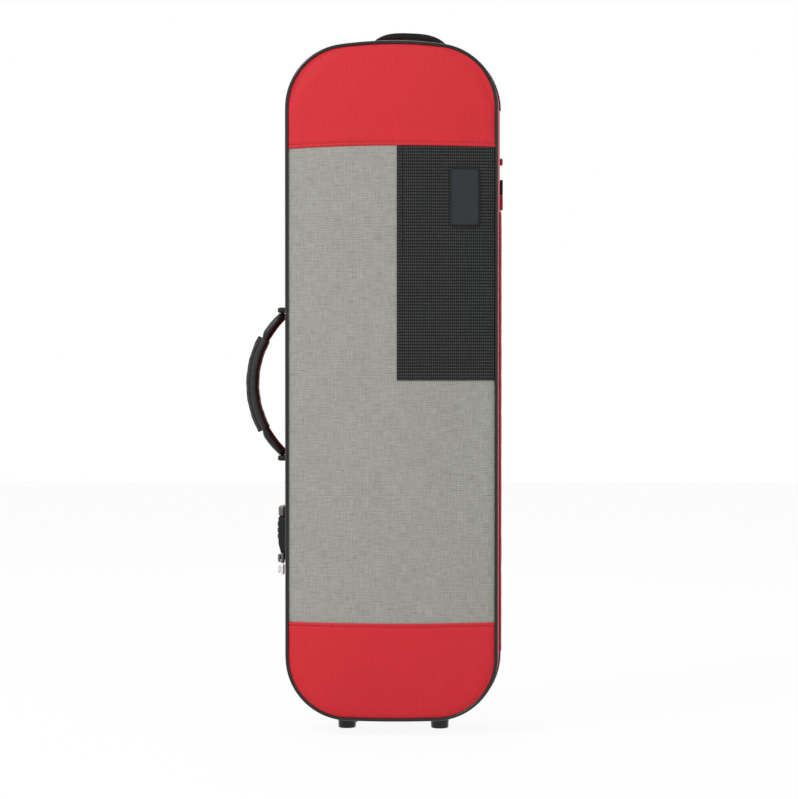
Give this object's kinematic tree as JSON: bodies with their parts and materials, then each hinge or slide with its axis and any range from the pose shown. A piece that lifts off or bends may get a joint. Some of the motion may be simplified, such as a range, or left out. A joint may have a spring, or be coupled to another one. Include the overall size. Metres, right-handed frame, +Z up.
{
  "type": "violin case",
  "caption": "Oblong violin case with a zipped, hinged lid, side handle, combination lock, end feet, strap rings and a fitted interior.",
  "frame": {"origin": "under the middle of the whole object's box, on the plane that the feet stand on", "axes": "+Z up along the case, -Y out of the lid's front, +X towards the hinge side, -X towards the handle and lock"},
  "size_m": [0.3026, 0.1548, 0.8166],
  "materials": {
    "red_textile": "ribbed synthetic textile, semi-matt",
    "grey_textile": "woven synthetic textile, matt",
    "mesh_textile": "open dotted mesh, matt",
    "cord": "satin piping cord",
    "moulded_shell": "laminated shell, bare where hidden",
    "plush": "short plush over foam",
    "zip_tape": "woven zip tape with a nylon coil",
    "webbing": "woven webbing",
    "leather": "grained, stitched",
    "handle_rubber": "satin",
    "black_plastic": "moulded, satin",
    "dial_plastic": "moulded, satin",
    "foot_rubber": "glossy",
    "steel": "bright wire",
    "gunmetal": "satin gunmetal",
    "chrome": "polished"
  },
  "bodies": {
    "base": {"base_cover": "red_textile", "base_shell": "moulded_shell", "base_lining": "plush", "base_valance": "black_plastic", "base_piping": "cord", "zip_tape_base": "zip_tape", "hinge_band_base": "red_textile", "foot_1": "foot_rubber", "foot_2": "foot_rubber", "foot_3": "foot_rubber", "foot_4": "foot_rubber", "handle_lug_lower": "black_plastic", "handle_lug_upper": "black_plastic", "lock_housing": "black_plastic", "lock_axle": "steel", "top_handle_strap": "webbing", "top_anchor_left": "black_plastic", "top_anchor_right": "black_plastic", "ring_tab_1": "webbing", "ring_tab_2": "webbing", "ring_tab_3": "webbing", "ring_tab_4": "webbing", "side_tab": "webbing", "lower_pad": "plush", "upper_pad": "plush", "neck_cradle": "plush", "neck_strap": "webbing", "accessory_box": "plush", "shoulder_rest_tray": "plush", "end_divider": "plush"},
    "handle": {"handle_bow": "handle_rubber", "handle_grip": "leather"},
    "lid": {"lid_shell": "moulded_shell", "lid_side_cover": "red_textile", "red_top_panel": "red_textile", "grey_panel": "grey_textile", "red_bottom_panel": "red_textile", "mesh_pocket": "mesh_textile", "label_plate": "black_plastic", "lid_piping": "cord", "lid_lining": "plush", "zip_tape_lid": "zip_tape", "hinge_band_lid": "red_textile", "spinner_bar": "black_plastic", "bow_tip_holder": "plush"},
    "dial_1_body": {"dial_1": "dial_plastic"},
    "dial_2_body": {"dial_2": "dial_plastic"},
    "dial_3_body": {"dial_3": "dial_plastic"},
    "lock_slide_body": {"lock_slide": "gunmetal"},
    "zip_slider_lower_body": {"zip_slider_lower": "chrome"},
    "zip_slider_upper_body": {"zip_slider_upper": "gunmetal"},
    "zip_pull_lower_body": {"zip_pull_lower": "chrome"},
    "zip_pull_upper_body": {"zip_pull_upper": "gunmetal"},
    "strap_ring_1_body": {"strap_ring_1": "steel"},
    "strap_ring_2_body": {"strap_ring_2": "steel"},
    "strap_ring_3_body": {"strap_ring_3": "steel"},
    "strap_ring_4_body": {"strap_ring_4": "steel"},
    "accessory_lid_body": {"accessory_lid": "plush"},
    "bow_spinner_1_body": {"bow_spinner_1": "black_plastic"},
    "bow_spinner_2_body": {"bow_spinner_2": "black_plastic"}
  },
  "joints": [
    {"name": "lid_hinge", "type": "hinge", "parent": "base", "child": "lid", "pos_m": [0.1496, -0.02045, 0.349], "axis": [0, 0, 1], "range_deg": [0, 105]},
    {"name": "handle_swing", "type": "hinge", "parent": "base", "child": "handle", "pos_m": [-0.108, 0.00755, 0.4045], "axis": [0, 0, 1], "range_deg": [-60, 60]},
    {"name": "dial_1_spin", "type": "hinge", "parent": "base", "child": "dial_1_body", "pos_m": [-0.1081, 0.00475, 0.2396], "axis": [0, 0, 1], "continuous": true},
    {"name": "dial_2_spin", "type": "hinge", "parent": "base", "child": "dial_2_body", "pos_m": [-0.1081, 0.00475, 0.2325], "axis": [0, 0, 1], "continuous": true},
    {"name": "dial_3_spin", "type": "hinge", "parent": "base", "child": "dial_3_body", "pos_m": [-0.1081, 0.00475, 0.2254], "axis": [0, 0, 1], "continuous": true},
    {"name": "lock_release", "type": "slide", "parent": "base", "child": "lock_slide_body", "axis": [0, 0, 1], "range_m": [0, 0.0025], "stiffness_N_per_m": 400},
    {"name": "zip_lower_slide", "type": "slide", "parent": "base", "child": "zip_slider_lower_body", "axis": [0, 0, -1], "range_m": [0, 0.09]},
    {"name": "zip_upper_slide", "type": "slide", "parent": "base", "child": "zip_slider_upper_body", "axis": [0, 0, 1], "range_m": [0, 0.515]},
    {"name": "zip_pull_lower_swing", "type": "hinge", "parent": "zip_slider_lower_body", "child": "zip_pull_lower_body", "pos_m": [-0.1102, -0.02045, 0.188], "axis": [0, 0, 1], "range_deg": [0, 100]},
    {"name": "zip_pull_upper_swing", "type": "hinge", "parent": "zip_slider_upper_body", "child": "zip_pull_upper_body", "pos_m": [-0.1102, -0.02045, 0.2013], "axis": [0, 0, 1], "range_deg": [0, 100]},
    {"name": "strap_ring_1_swing", "type": "hinge", "parent": "base", "child": "strap_ring_1_body", "pos_m": [-0.0221, 0.07325, 0.669], "axis": [1, 0, 0], "range_deg": [0, 150]},
    {"name": "strap_ring_2_swing", "type": "hinge", "parent": "base", "child": "strap_ring_2_body", "pos_m": [0.0679, 0.07325, 0.669], "axis": [1, 0, 0], "range_deg": [0, 150]},
    {"name": "strap_ring_3_swing", "type": "hinge", "parent": "base", "child": "strap_ring_3_body", "pos_m": [-0.0491, 0.07325, 0.144], "axis": [1, 0, 0], "range_deg": [0, 150]},
    {"name": "strap_ring_4_swing", "type": "hinge", "parent": "base", "child": "strap_ring_4_body", "pos_m": [0.0949, 0.07325, 0.144], "axis": [1, 0, 0], "range_deg": [0, 150]},
    {"name": "accessory_lid_hinge", "type": "hinge", "parent": "base", "child": "accessory_lid_body", "pos_m": [-0.0861, -0.01425, 0.531], "axis": [0, 0, -1], "range_deg": [0, 30]},
    {"name": "bow_spinner_1_turn", "type": "hinge", "parent": "lid", "child": "bow_spinner_1_body", "pos_m": [-0.0221, -0.05005, 0.114], "axis": [0, 1, 0], "range_deg": [0, 90]},
    {"name": "bow_spinner_2_turn", "type": "hinge", "parent": "lid", "child": "bow_spinner_2_body", "pos_m": [0.0679, -0.05005, 0.114], "axis": [0, 1, 0], "range_deg": [0, 90]}
  ]
}
